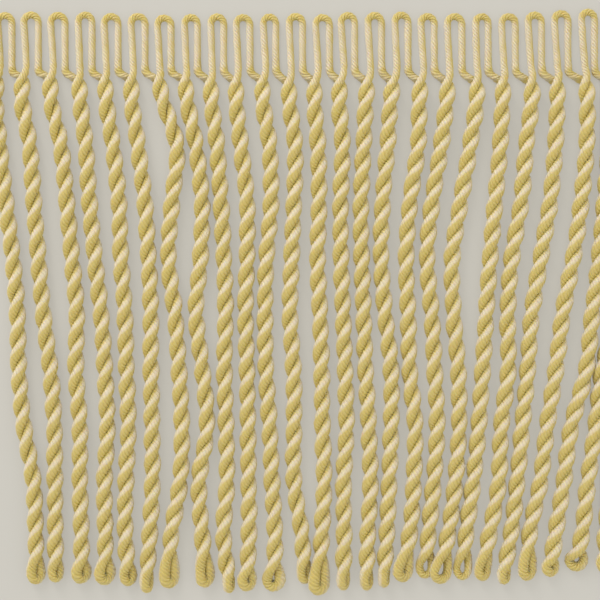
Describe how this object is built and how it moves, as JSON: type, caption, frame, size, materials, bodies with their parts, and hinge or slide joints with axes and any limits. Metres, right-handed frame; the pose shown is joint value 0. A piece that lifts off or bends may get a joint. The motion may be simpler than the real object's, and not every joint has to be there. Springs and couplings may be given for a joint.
{
  "type": "upholstery bullion fringe",
  "caption": "Length of bullion fringe: one corded yarn bent into bare heading loops and twisted back on itself into hanging two-ply strands with looped feet.",
  "frame": {"origin": "middle of the fringe's underside, where it lies on its back", "axes": "+X along the length of the trimming, +Y towards the heading, +Z out of the front of the fringe, away from what it lies on"},
  "size_m": [0.1865, 0.1562, 0.0044],
  "materials": {
    "yarn": "satin"
  },
  "bodies": {
    "root": {"bullion_fringe": "yarn"}
  },
  "joints": []
}
